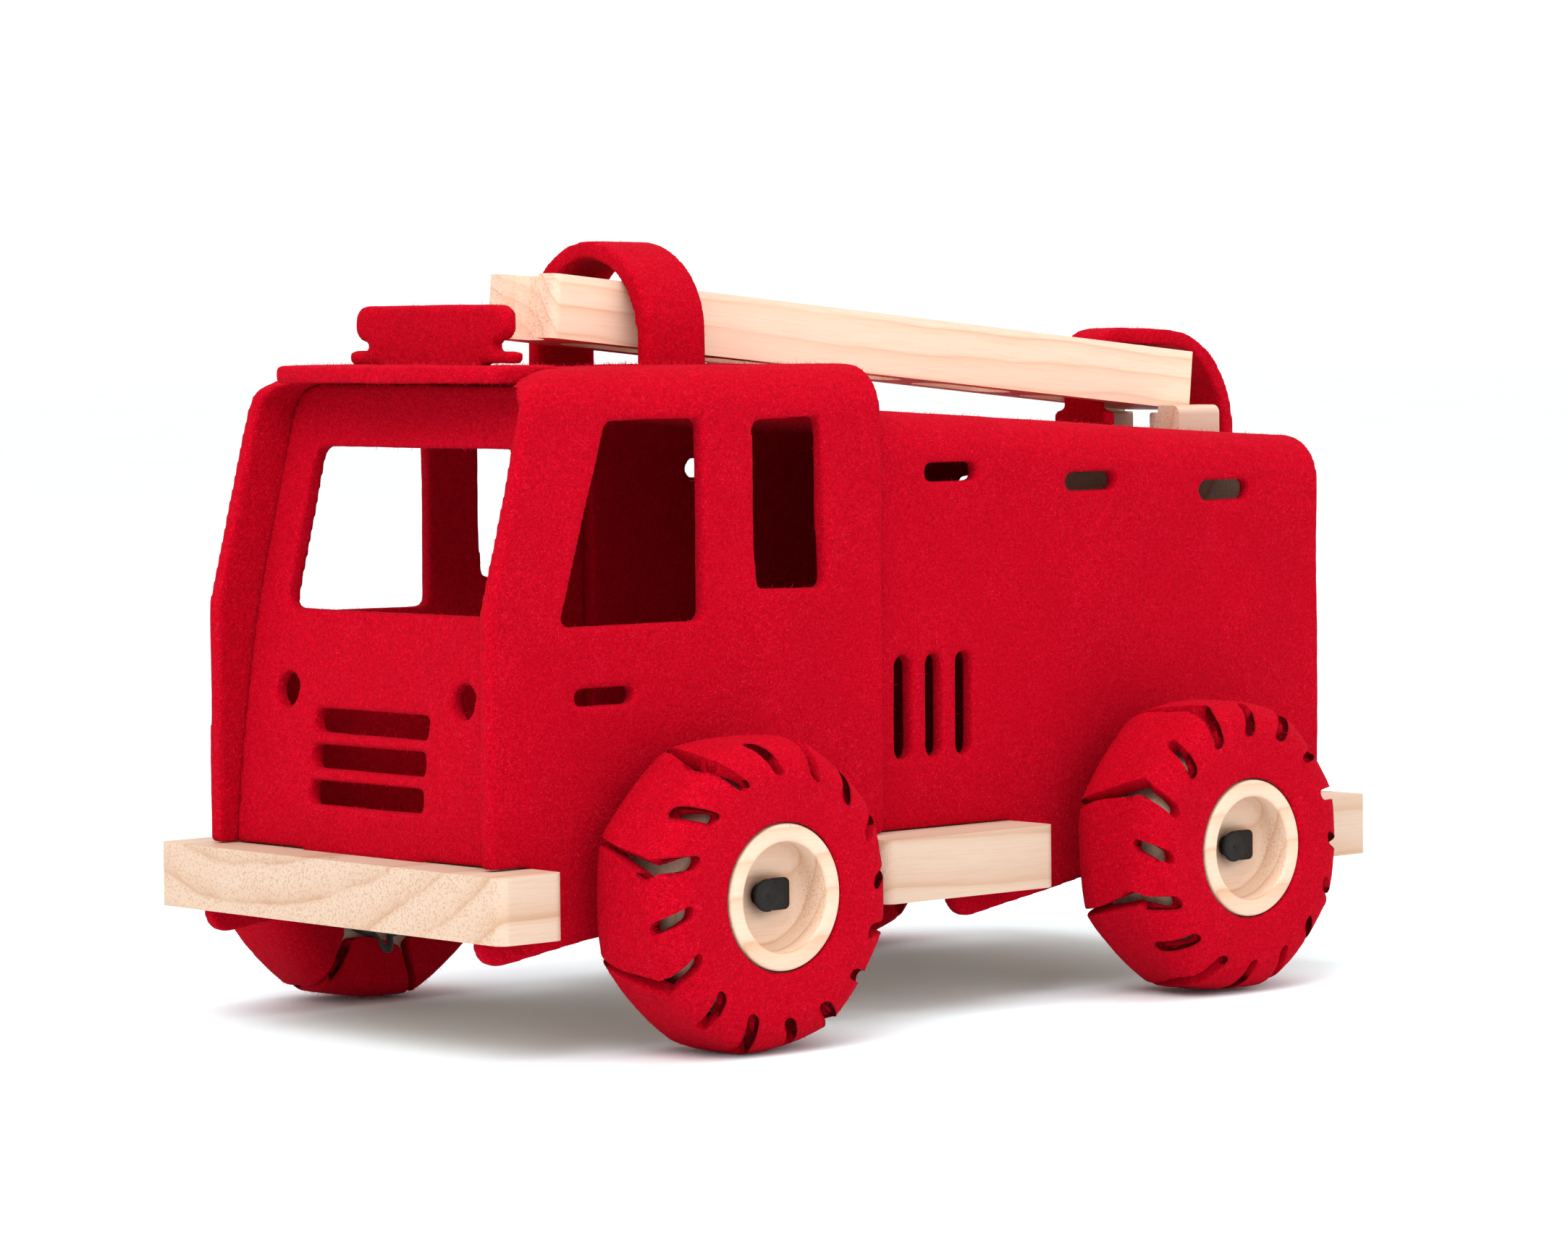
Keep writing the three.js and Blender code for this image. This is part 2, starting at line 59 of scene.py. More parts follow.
# ---- materials ----------------------------------------------------------------------------
class Graph:
    """A Principled material and short calls to wire nodes into it."""

    def __init__(self, name, **constants):
        self.material = bpy.data.materials.new(name)
        self.material.use_nodes = True
        self.tree = self.material.node_tree
        self.shader = self.tree.nodes["Principled BSDF"]
        for socket, value in constants.items():
            self.shader.inputs[socket.replace("_", " ")].default_value = value
        coordinates = self.add("TexCoord").outputs
        self.place = coordinates["Object"]
        self.normal = coordinates["Normal"]

    def add(self, kind, inputs=None, **settings):
        node = self.tree.nodes.new("ShaderNode" + kind)
        for key, value in settings.items():
            setattr(node, key, value)
        for key, value in (inputs or {}).items():
            if isinstance(value, bpy.types.NodeSocket):
                self.tree.links.new(value, node.inputs[key])
            else:
                node.inputs[key].default_value = value
        return node

    def math(self, operation, a, b=0.0):
        return self.add("Math", {0: a, 1: b}, operation=operation).outputs[0]

    def noise(self, vector, scale, detail=3.0, roughness=0.55):
        sockets = {"Vector": vector, "Scale": scale, "Detail": detail, "Roughness": roughness}
        return self.add("TexNoise", sockets).outputs["Fac"]

    def cell_edges(self, vector, scale):
        sockets = {"Vector": vector, "Scale": scale}
        return self.add("TexVoronoi", sockets, feature="DISTANCE_TO_EDGE").outputs["Distance"]

    def ramp(self, factor, *stops):
        node = self.add("ValToRGB", {"Fac": factor})
        elements = node.color_ramp.elements
        while len(elements) < len(stops):
            elements.new(0.5)
        for element, (position, color) in zip(elements, stops):
            element.position = position
            element.color = (*color, 1.0)
        return node.outputs["Color"]

    def mix(self, factor, a, b):
        """Blends two colours, each a socket or a red, green, blue tuple."""
        a, b = (value if isinstance(value, bpy.types.NodeSocket) else (*value, 1.0)
                for value in (a, b))
        return self.add("Mix", {0: factor, 6: a, 7: b}, data_type="RGBA").outputs[2]

    def finish(self, color, roughness, *bumps):
        """Wires the surface up. Each bump is (height, strength, distance)."""
        self.tree.links.new(color, self.shader.inputs["Base Color"])
        self.tree.links.new(roughness, self.shader.inputs["Roughness"])
        normal = None
        for height, strength, distance in bumps:
            sockets = {"Height": height, "Strength": strength, "Distance": distance}
            if normal is not None:
                sockets["Normal"] = normal
            normal = self.add("Bump", sockets).outputs["Normal"]
        self.tree.links.new(normal, self.shader.inputs["Normal"])
        return self.material


def grey(value):
    return (value, value, value)


def felt_material(name, base, deep, fleck):
    """Pressed wool: matted fibres, pale flecks of loose fibre and a soft sheen."""
    g = Graph(name, Sheen_Weight=0.05, Sheen_Roughness=0.4, Sheen_Tint=(1.0, 0.02, 0.10, 1.0),
              Specular_IOR_Level=0.03)
    warp = g.add("TexNoise", {"Vector": g.place, "Scale": 260.0, "Detail": 2.0}).outputs["Color"]
    bent = g.add("VectorMath", {0: warp, "Scale": 0.006}, operation="SCALE").outputs[0]
    bent = g.add("VectorMath", {0: g.place, 1: bent}).outputs[0]
    fibres = g.cell_edges(bent, 620.0)
    wisps = g.cell_edges(bent, 420.0)
    clumps = g.noise(g.place, 700.0, 4.0, 0.65)
    patches = g.noise(g.place, 34.0, 3.0)
    body = g.mix(g.ramp(clumps, (0.32, grey(0.0)), (0.72, grey(1.0))), deep, base)
    body = g.mix(g.ramp(patches, (0.35, grey(0.0)), (0.7, grey(0.35))), body, deep)
    body = g.mix(g.ramp(fibres, (0.0, grey(0.12)), (0.08, grey(0.0))), body, fleck)
    sparse = g.noise(g.place, 170.0, 2.0)
    lone = g.ramp(wisps, (0.0, grey(1.0)), (0.035, grey(0.0)))
    lone = g.math("MULTIPLY", lone, g.ramp(sparse, (0.56, grey(0.0)), (0.68, grey(0.28))))
    body = g.mix(lone, body, fleck)
    specks = g.noise(g.place, 2100.0, 1.0)
    color = g.mix(g.ramp(specks, (0.60, grey(0.0)), (0.74, grey(0.45))), body, fleck)
    rough = g.ramp(clumps, (0.0, grey(0.85)), (1.0, grey(1.0)))
    return g.finish(color, rough, (fibres, 0.35, 0.0004), (clumps, 0.55, 0.0007),
                    (patches, 0.2, 0.0012))


EARLY_WOOD = (0.82, 0.65, 0.485)
LATE_WOOD = (0.58, 0.31, 0.15)
WARM_WOOD = (0.80, 0.57, 0.38)


def pine_material(name, pith, turn, spacing, tint):
    """Sawn pine: growth rings round a pith line along local X, with fibres and end pores."""
    early, late_tone, warm = ([c * t for c, t in zip(tone, tint)]
                              for tone in (EARLY_WOOD, LATE_WOOD, WARM_WOOD))
    g = Graph(name, Specular_IOR_Level=0.3)
    log = g.add("Mapping", {"Vector": g.place, "Location": pith, "Rotation": turn}).outputs[0]
    slow = g.add("Mapping", {"Vector": log, "Scale": (5.0, 26.0, 26.0)}).outputs[0]
    y, z = g.add("SeparateXYZ", {0: log}).outputs[1:3]
    radius = g.math("SQRT", g.math("ADD", g.math("MULTIPLY", y, y), g.math("MULTIPLY", z, z)))
    waver = g.math("MULTIPLY", g.noise(slow, 1.0, 3.0, 0.5), 0.011)
    ring = g.math("FRACT", g.math("DIVIDE", g.math("ADD", radius, waver), spacing))
    late = g.ramp(ring, (0.0, grey(0.55)), (0.1, grey(0.0)), (0.5, grey(0.06)), (0.86, grey(0.5)),
                  (0.97, grey(1.0)))
    varied = g.noise(slow, 2.3, 2.0)
    late = g.math("MULTIPLY", late, g.ramp(varied, (0.3, grey(0.35)), (0.75, grey(1.0))))
    fine = g.add("Mapping", {"Vector": log, "Scale": (60.0, 1700.0, 1700.0)}).outputs[0]
    streaks = g.noise(fine, 1.0, 3.0, 0.6)
    color = g.mix(g.math("MULTIPLY", late, 0.78), early, late_tone)
    color = g.mix(g.ramp(streaks, (0.36, grey(0.16)), (0.56, grey(0.0))), color, late_tone)
    freckles = g.noise(g.place, 2600.0, 2.0, 0.6)
    color = g.mix(g.ramp(freckles, (0.28, grey(0.22)), (0.4, grey(0.0))), color, late_tone)
    along = g.add("SeparateXYZ", {0: g.normal}).outputs[0]
    end_grain = g.math("POWER", g.math("ABSOLUTE", along), 3.0)
    pores = g.ramp(g.noise(g.place, 1300.0, 1.0, 0.4), (0.36, grey(0.55)), (0.47, grey(0.0)))
    color = g.mix(g.math("MULTIPLY", pores, end_grain), color, late_tone)
    patches = g.noise(slow, 0.8, 2.0)
    color = g.mix(g.ramp(patches, (0.35, grey(0.0)), (0.8, grey(0.3))), color, warm)
    rough = g.ramp(streaks, (0.0, grey(0.45)), (1.0, grey(0.66)))
    return g.finish(color, rough, (streaks, 0.16, 0.0003), (ring, 0.1, 0.0002))


def plain_material(name, color, other, roughness, scale, bump, **constants):
    """A moulded, drawn or twisted surface: two close tones, uneven gloss and fine relief."""
    g = Graph(name, **constants)
    fine = g.noise(g.place, scale, 4.0, 0.6)
    broad = g.noise(g.place, scale * 0.12, 2.0)
    tones = g.mix(g.ramp(broad, (0.3, grey(0.0)), (0.7, grey(1.0))), color, other)
    rough = g.ramp(fine, (0.2, grey(roughness - 0.09)), (0.8, grey(roughness + 0.09)))
    return g.finish(tones, rough, (fine, bump, 0.0003))


CRIMSON = (0.47, 0.0, 0.009)
DEEP_CRIMSON = (0.29, 0.0, 0.005)
PALE_FIBRE = (0.80, 0.018, 0.060)
FELT = felt_material("red_wool_felt", CRIMSON, DEEP_CRIMSON, PALE_FIBRE)
FIBRE = plain_material("loose_wool", (0.70, 0.012, 0.030), (0.60, 0.0, 0.016), 0.8, 500.0, 0.05,
                       Specular_IOR_Level=0.1)
BOARD_PINE = pine_material("pine_board", (0.0, 0.037, -0.211), (0.0, 0.012, 0.01), 0.0135,
                           (0.69, 0.645, 0.66))
LADDER_PINE = pine_material("pine_ladder", (0.0, 0.03, -0.19), (0.0, 0.1, 0.0), 0.0046,
                            (0.99, 0.93, 0.95))
DISC_PINE = pine_material("pine_disc", (0.0, -0.05, 0.024), (0.05, 0.0, 0.03), 0.0062,
                          (0.86, 0.79, 0.80))
STOP = plain_material("dark_moulding", (0.005, 0.004, 0.004), (0.010, 0.008, 0.007), 0.45, 900.0,
                      0.12, Specular_IOR_Level=0.2)
CORD = plain_material("black_cord", (0.012, 0.011, 0.011), (0.03, 0.028, 0.027), 0.7, 1500.0, 0.5,
                      Sheen_Weight=0.2)
STEEL = plain_material("drawn_steel", (0.55, 0.56, 0.58), (0.42, 0.43, 0.45), 0.3, 700.0, 0.08,
                       Metallic=1.0)


# ---- mesh helpers -------------------------------------------------------------------------
def new_object(name, mesh, material):
    piece = bpy.data.objects.new(name, mesh)
    bpy.context.scene.collection.objects.link(piece)
    mesh.materials.clear()
    mesh.materials.append(material)
    mesh.shade_smooth()
    return piece


def finish_piece(piece, slot, body, *nodes):
    """Gives the piece its body and hides the CAD nodes that it stands for. The slot is not used.
    """
    bpy.context.view_layer.update()
    if nodes:
        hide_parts(*nodes)
    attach(piece, body)


def mesh_from(name, points, faces):
    mesh = bpy.data.meshes.new(name)
    mesh.from_pydata(points, [], faces)
    mesh.validate()
    return mesh


def baked(piece, name):
    """A new mesh with the object's modifiers applied."""
    graph = bpy.context.evaluated_depsgraph_get()
    mesh = bpy.data.meshes.new_from_object(piece.evaluated_get(graph))
    mesh.name = name
    return mesh


def bevelled(piece, width, segments, angle=35.0):
    modifier = piece.modifiers.new("bevel", "BEVEL")
    modifier.width = width
    modifier.segments = segments
    modifier.limit_method = "ANGLE"
    modifier.angle_limit = math.radians(angle)
    modifier.harden_normals = False


def curve_through(points, steps):
    """Points of a Catmull-Rom curve through the given tuples."""
    rows = [tuple(points[0]), *points, tuple(points[-1])]
    result = []
    for a, b, c, d in zip(rows, rows[1:], rows[2:], rows[3:]):
        for i in range(steps):
            t = i / steps
            result.append(tuple(
                q + 0.5 * t * (r - p + t * (2 * p - 5 * q + 4 * r - s + t * (3 * (q - r) + s - p)))
                for p, q, r, s in zip(a, b, c, d)))
    return [*result, tuple(points[-1])]


def band(here, there, count):
    """Faces between two closed rings of the same number of points, given their first points."""
    return [(here + j, here + (j + 1) % count, there + (j + 1) % count, there + j)
            for j in range(count)]


def lathed(name, profile, material, segments=96):
    """A closed profile of (radius, y) in millimetres turned about Y."""
    rows = len(profile)
    points, faces = [], []
    for i in range(segments):
        angle = 2 * math.pi * i / segments
        for radius, y in profile:
            points.append((radius * MM * math.cos(angle), y * MM, radius * MM * math.sin(angle)))
        faces += band(i * rows, (i + 1) % segments * rows, rows)
    return new_object(name, outward_mesh(mesh_from(name, points, faces)), material)


def outward_mesh(mesh):
    work = bmesh.new()
    work.from_mesh(mesh)
    bmesh.ops.remove_doubles(work, verts=work.verts, dist=1e-6)
    bmesh.ops.recalc_face_normals(work, faces=work.faces)
    work.to_mesh(mesh)
    work.free()
    return mesh


def ruffle(mesh, *layers):
    """Pushes the surface in and out by noise layers of (frequency, height in millimetres)."""
    normals = [vertex.normal.copy() for vertex in mesh.vertices]
    for vertex, normal in zip(mesh.vertices, normals):
        push = sum(noise.noise(vertex.co * frequency) * height for frequency, height in layers)
        vertex.co += normal * (push * MM)


# ---- felt ---------------------------------------------------------------------------------
FELT_VOXEL = 1.15
FELT_WAVES = ((26.0, 0.45), (210.0, 0.10))
FIBRE_ROOT = 0.25
FIBRE_LENGTHS = (0.7, 2.3)
FIBRE_RADII = (0.055, 0.045, 0.02)


def fibre_spine(root, normal, rng):
    """Direction of a bent fibre that stands off the felt, and its root, middle and tip."""
    lean = Vector((rng.gauss(0, 1), rng.gauss(0, 1), rng.gauss(0, 1)))
    up = (normal * 0.8 + lean * 0.55).normalized()
    curl = lean.cross(normal) * 0.35
    length = rng.uniform(*FIBRE_LENGTHS) * MM
    start = root - normal * FIBRE_ROOT * MM
    return up, (start, start + up * length * 0.5, start + (up * 0.9 + curl * 0.5) * length)


def loose_fibres(name, hosts, spacing, body):
    """Fine fibres on the felt above the ground: one closed three-sided spike each."""
    rng = random.Random(name)
    points, faces = [], []
    for mesh in hosts:
        mesh.calc_loop_triangles()
        for face in mesh.loop_triangles:
            if rng.random() > face.area / (spacing * MM) ** 2:
                continue
            a, b, c = (mesh.vertices[i].co for i in face.vertices)
            u, v = sorted((rng.random(), rng.random()))
            up, spine = fibre_spine(a * u + b * (v - u) + c * (1 - v), face.normal, rng)
            if min(place.z for place in spine) < 0:
                continue
            across = up.orthogonal().normalized()
            other = up.cross(across)
            first = len(points)
            for place, width in zip(spine, FIBRE_RADII):
                for k in range(3):
                    angle = 2 * math.pi * k / 3
                    points.append(place + (across * math.cos(angle) + other * math.sin(angle))
                                  * (width * MM))
            faces += band(first, first + 3, 3) + band(first + 3, first + 6, 3)
            faces.append((first + 2, first + 1, first))
            faces.append((first + 6, first + 7, first + 8))
    finish_piece(new_object(name, mesh_from(name, points, faces), FIBRE), "red_felt", body)


def felt_piece(node):
    """The node's own shape with softly cut edges and the slight unevenness of thick felt."""
    copy = bpy.data.objects.new(node + "_source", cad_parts[node].data.copy())
    bpy.context.scene.collection.objects.link(copy)
    remesh = copy.modifiers.new("remesh", "REMESH")
    remesh.mode = "VOXEL"
    remesh.voxel_size = FELT_VOXEL * MM
    smooth = copy.modifiers.new("smooth", "SMOOTH")
    smooth.iterations = 5
    smooth.factor = 0.5
    mesh = baked(copy, "felt_" + node)
    bpy.data.objects.remove(copy)
    ruffle(mesh, *FELT_WAVES)
    finish_piece(new_object("felt_" + node, mesh, FELT), "red_felt", "vehicle", node)
    return mesh


# ---- tyres: one felt rosette, folded over the disc and laced behind it --------------------
LUGS = 8
HALF_LUG = math.pi / LUGS
LUG_COLUMNS = 9
FOLD_ROWS = 58
# Outer surface of the folded felt: radius and depth behind the wheel's outer face.
FOLD = ((23.7, 1.0), (24.4, 0.1), (30.0, 0.0), (36.0, 0.1), (40.0, 0.7), (43.6, 2.1), (46.8, 4.8),
        (48.9, 8.2), (49.7, 12.0), (49.9, 18.0), (49.9, 26.0), (49.5, 31.0), (48.2, 35.4),
        (45.8, 38.4), (42.4, 39.8), (38.0, 40.0), (34.0, 39.9), (30.6, 39.6), (28.6, 39.0))
# How far the cuts lean along the rim, in millimetres, against distance along the fold.
LEAN = ((0, 0), (13, 0), (23, -4.2), (31, -7.2), (44, -3.5), (58, 0.5), (76, 2.0))
LEAN_RADIUS = 40.0
# The short closed cut down the middle of each lug. The gaps between lugs start level with it.
SLOT_START = 15.0
SLOT_LENGTH = 16.0
SLOT_HALF = 2.25
SLOT_RADIUS = 44.0
# Half width of the open gap between two lugs, against distance along the fold.
GAP_HALF = ((0, 2.4), (24, 2.8), (32, 3.1), (40, 2.5), (48, 1.6), (56, 1.5), (64, 1.7), (72, 2.0),
            (80, 2.2))
GAP_END_HALF = 2.4
GAP_WIDENS = 28.0
TIP_ROUNDING = 4.0
# Where along the fold the tread's shape sets in and dies away.
TREAD_START = 17.0
TREAD_RISE = 12.0
TREAD_TO_TIP = 6.0
TREAD_FALL = 9.0
# On the tread the lugs' corners stand out and their middles lie flatter.
CORNER_RISE = 1.1
MIDDLE_DROP = 1.9
FELT_THICK = 5.2


def value_at(table, s):
    for (s0, v0), (s1, v1) in zip(table, table[1:]):
        if s <= s1:
            return v0 + (v1 - v0) * (s - s0) / (s1 - s0)
    return table[-1][1]


def fold_rows():
    """(distance, radius, depth) down the fold, closer together near the ends of the cuts."""
    dense = curve_through(FOLD, 8)
    distance = [0.0]
    for (r0, d0), (r1, d1) in zip(dense, dense[1:]):
        distance.append(distance[-1] + math.hypot(r1 - r0, d1 - d0))
    total = distance[-1]
    stops = {round(i * total / FOLD_ROWS, 3) for i in range(FOLD_ROWS + 1)}
    for end, inward in ((SLOT_START, 1), (SLOT_START + SLOT_LENGTH, -1)):
        stops |= {round(end + inward * step, 3) for step in (0.0, 0.12, 0.45, 1.0, 1.7)}
    stops |= {round(total - step, 3) for step in (0.1, 0.4)}
    rows = []
    for s in sorted(stops):
        i = max(1, next((k for k, d in enumerate(distance) if d >= s - 1e-9), len(dense) - 1))
        t = (s - distance[i - 1]) / (distance[i] - distance[i - 1])
        r, d = (a + (b - a) * t for a, b in zip(dense[i - 1], dense[i]))
        rows.append((s, r, d))
    return rows


def rounded_end(past_end, radius):
    """Half width of a round-ended cut this far inside its end."""
    if past_end <= 0:
        return 0.0
    if past_end >= radius:
        return radius
    return math.sqrt(radius ** 2 - (radius - past_end) ** 2)


def lug_edges(s, r, length):
    """Angles from a lug's middle at which its felt starts and stops."""
    slot = rounded_end(min(s - SLOT_START, SLOT_START + SLOT_LENGTH - s), SLOT_HALF)
    gap = value_at(GAP_HALF, s)
    if s <= GAP_WIDENS:
        gap = min(gap, rounded_end(s - SLOT_START, GAP_END_HALF))
    past_rounding = max(0.0, (s - length + TIP_ROUNDING) / TIP_ROUNDING)
    stop = (HALF_LUG - gap / r) * math.sqrt(max(0.05, 1 - past_rounding ** 2))
    return slot / r, stop


def tread_share(s, length):
    """0 on the wheel's face and at the lugs' tips, 1 on the tread."""
    rising = (s - TREAD_START) / TREAD_RISE
    falling = (length - TREAD_TO_TIP - s) / TREAD_FALL
    return min(1.0, max(0.0, rising), max(0.0, falling))


def tyre_sheet():
    """The outer surface of the folded rosette: eight leaning lugs, each with a cut in it."""
    points, faces = [], []
    rows = fold_rows()
    length = rows[-1][0]
    middle_lean = value_at(LEAN, SLOT_START + SLOT_LENGTH / 2) / SLOT_RADIUS
    for lug in range(LUGS):
        for side in (-1, 1):
            first = len(points)
            for s, r, d in rows:
                lean = value_at(LEAN, s) / max(r, LEAN_RADIUS) - middle_lean
                start, stop = lug_edges(s, r, length)
                on_tread = tread_share(s, length)
                depth = d + 0.25 * math.sin(3.0 * lug + 0.1 * s) * on_tread
                for column in range(LUG_COLUMNS + 1):
                    delta = start + (stop - start) * column / LUG_COLUMNS
                    flat = 1.0 - (delta / HALF_LUG) ** 2
                    radius = r + (CORNER_RISE - MIDDLE_DROP * flat) * on_tread
                    angle = 2 * HALF_LUG * lug + side * delta + lean
                    points.append((radius * MM * math.cos(angle), -depth * MM,
                                   radius * MM * math.sin(angle)))
            for i in range(len(rows) - 1):
                for j in range(LUG_COLUMNS):
                    a = first + i * (LUG_COLUMNS + 1) + j
                    b = a + LUG_COLUMNS + 1
                    faces.append((a, a + 1, b + 1, b) if side > 0 else (a, b, b + 1, a + 1))
    return points, faces


def tyre_mesh(name):
    """The rosette with its thickness, set inward from the outer surface, and soft edges."""
    sheet = bpy.data.objects.new(name, outward_mesh(mesh_from(name, *tyre_sheet())))
    bpy.context.scene.collection.objects.link(sheet)
    probe = max(sheet.data.polygons, key=lambda face: math.hypot(face.center.x, face.center.z))
    facing_out = Vector((probe.center.x, 0.0, probe.center.z)).dot(probe.normal) > 0
    thick = sheet.modifiers.new("thick", "SOLIDIFY")
    thick.thickness = FELT_THICK * MM
    thick.offset = -1.0 if facing_out else 1.0
    thick.use_even_offset = True
    thick.use_quality_normals = True
    bevelled(sheet, 0.9 * MM, 3, 50.0)
    mesh = baked(sheet, name)
    bpy.data.objects.remove(sheet)
    ruffle(mesh, (60.0, 0.35), (240.0, 0.12))
    return mesh


CORD_RADIUS = 1.25
CORD_SIDES = 8
CORD_TWIST = 0.35
CORD_STEPS = 40
# Where the cord lies between two lugs, and how far it rises over a lug's tip.
CORD_RING = (27.4, 36.4)
STITCH_RISE = (4.8, 4.1)
STITCH_REACH = 0.2


def lacing_path():
    """The cord dips between the lugs and passes outside each lug's tip."""
    loop = []
    for i in range(LUGS * CORD_STEPS):
        turn = i / CORD_STEPS
        over_tip = max(0.0, 1.0 - abs(turn % 1.0 - 0.5) / STITCH_REACH)
        ease = over_tip * over_tip * (3 - 2 * over_tip)
        radius, depth = (low + rise * ease for low, rise in zip(CORD_RING, STITCH_RISE))
        angle = 2 * HALF_LUG * (turn - 0.5)
        loop.append((radius * math.cos(angle), -depth, radius * math.sin(angle)))
    return loop


def cord_mesh(name, path):
    """A closed round cord of twisted strands along a loop of points in millimetres."""
    count = len(path)
    points, faces = [], []
    for i, here in enumerate(path):
        along = (Vector(path[(i + 1) % count]) - Vector(path[i - 1])).normalized()
        out = Vector((here[0], 0.0, here[2])).normalized()
        out = (out - along * out.dot(along)).normalized()
        across = along.cross(out)
        for j in range(CORD_SIDES):
            angle = 2 * math.pi * j / CORD_SIDES
            ripple = 1.0 + 0.09 * math.cos(2 * angle + CORD_TWIST * i)
            offset = (out * math.cos(angle) + across * math.sin(angle)) * CORD_RADIUS * ripple
            points.append((Vector(here) + offset) * MM)
        faces += band(i * CORD_SIDES, (i + 1) % count * CORD_SIDES, CORD_SIDES)
    return outward_mesh(mesh_from(name, points, faces))


# ---- discs and axle stops -----------------------------------------------------------------
# Radius and depth round the disc: recess, raised hub, felt's seat, rounded rim and back.
DISC_PROFILE = ((3.4, 13.0), (12.6, 13.0), (14.6, 12.7), (16.3, 11.8), (17.2, 10.3), (17.5, 8.4),
                (17.5, 1.0), (17.7, 0.45), (18.2, 0.1), (18.9, 0.0), (22.0, 0.0), (22.7, 0.2),
                (23.1, 0.6), (23.2, 1.2), (23.2, 5.9), (31.5, 5.9), (34.4, 6.9), (36.9, 9.6),
                (38.3, 13.5), (38.6, 17.0), (38.6, 33.2), (38.4, 33.8), (37.8, 34.1), (3.4, 34.1))
HEAD_PROFILE = ((0.02, 8.45), (1.2, 8.42), (1.9, 8.26), (4.4, 8.22), (5.0, 8.36), (5.25, 8.7),
                (5.25, 9.2), (5.0, 9.6), (3.4, 9.75), (3.3, 12.7), (0.02, 12.7))
# The tongue's corner centres with the angle at which each corner's arc starts.
TONGUE_CORNERS = ((-8.2, 3.3, 90), (-8.2, -3.3, 180), (-3.6, -3.3, 270), (-3.6, 3.3, 0))
TONGUE_CORNER_RADIUS = 1.8
TONGUE_MIDDLE = -5.9
# Scale of the outline at each depth, for softened edges.
TONGUE_LAYERS = ((0.9, 9.25), (0.97, 9.4), (1.0, 9.75), (1.0, 10.9), (0.97, 11.2))


def wheel_disc(name):
    return lathed(name, [(r, -d) for r, d in DISC_PROFILE], DISC_PINE)


def stop_head(name):
    """The stop's round head, slightly domed, with a dimple where it was moulded."""
    return lathed(name, [(r, -d) for r, d in HEAD_PROFILE], STOP, 48)


def stop_tongue(name):
    """The flat-ended block behind the head, with rounded corners."""
    outline = []
    for cx, cz, start in TONGUE_CORNERS:
        for i in range(7):
            angle = math.radians(start + 15 * i)
            outline.append((cx + TONGUE_CORNER_RADIUS * math.cos(angle),
                            cz + TONGUE_CORNER_RADIUS * math.sin(angle)))
    count = len(outline)
    points, faces = [], []
    for scale, depth in TONGUE_LAYERS:
        if points:
            faces += band(len(points) - count, len(points), count)
        for x, z in outline:
            points.append(((TONGUE_MIDDLE + (x - TONGUE_MIDDLE) * scale) * MM, -depth * MM,
                           z * scale * MM))
    faces.append(tuple(range(count)))
    faces.append(tuple(range(len(points) - count, len(points))))
    return new_object(name, outward_mesh(mesh_from(name, points, faces)), STOP)


# Where each tyre's first cross cut stands round the rim, and which way its cuts lean.
TYRE_TURN = {("front", "left"): (-6.0, 1), ("rear", "left"): (2.5, -1),
             ("front", "right"): (4.0, 1), ("rear", "right"): (-5.0, -1)}


def build_wheel(end, side, rosette, lace):
    """Dresses one wheel. The shared meshes have their outer face at local Y 0, facing +Y."""
    tag = f"{end}_{side}"
    body = f"wheel_{tag}"
    low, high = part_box(f"tyre_{tag}")
    centre = Vector([(a + b) / 2 for a, b in zip(low, high)])
    sign = 1 if side == "left" else -1
    outer_face = max(abs(low[1]), abs(high[1])) * sign
    seat = Matrix.Translation((centre.x, outer_face, centre.z))
    if sign < 0:
        seat = seat @ Matrix.Scale(-1, 4, (0, 1, 0))
    turn, lean = TYRE_TURN[end, side]
    turned = seat @ Matrix.Rotation(math.radians(-turn), 4, "Y")
    if lean < 0:
        turned = turned @ Matrix.Scale(-1, 4, (0, 0, 1))
    tyre = rosette.copy()
    tyre.transform(turned)
    finish_piece(new_object("felt_tyre_" + tag, outward_mesh(tyre), FELT), "red_felt", body,
                 f"tyre_{tag}")
    loose_fibres("loose_fibres_" + tag, [tyre], 2.6, body)
    cord = lace.copy()
    cord.transform(turned)
    finish_piece(new_object("laced_cord_" + tag, outward_mesh(cord), CORD), "cord", body,
                 f"tyre_lacing_{tag}")
    disc = wheel_disc("disc_" + tag)
    disc.matrix_world = seat
    finish_piece(disc, "pine", body, f"wheel_disc_{tag}")
    for piece in (stop_head("stop_head_" + tag), stop_tongue("stop_tongue_" + tag)):
        piece.matrix_world = seat
        finish_piece(piece, "stop", "vehicle", f"axle_stop_{tag}")


# ---- parts that keep their CAD solid ------------------------------------------------------
def dress_node(name, material, edge):
    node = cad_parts[name]
    for place in node.material_slots:
        place.material = material
    flatten = node.modifiers.new("flatten", "DECIMATE")
    flatten.decimate_type = "DISSOLVE"
    flatten.angle_limit = math.radians(0.5)
    bevelled(node, edge * MM, 3)


# ---- build --------------------------------------------------------------------------------
loose_fibres("loose_fibres_bodywork", [felt_piece(node) for node in FELT_NODES], 3.4, "vehicle")

rosette_mesh = tyre_mesh("rosette")
lace_mesh = cord_mesh("lace", lacing_path())
for wheel_end in ENDS:
    for wheel_side in SIDES:
        build_wheel(wheel_end, wheel_side, rosette_mesh, lace_mesh)

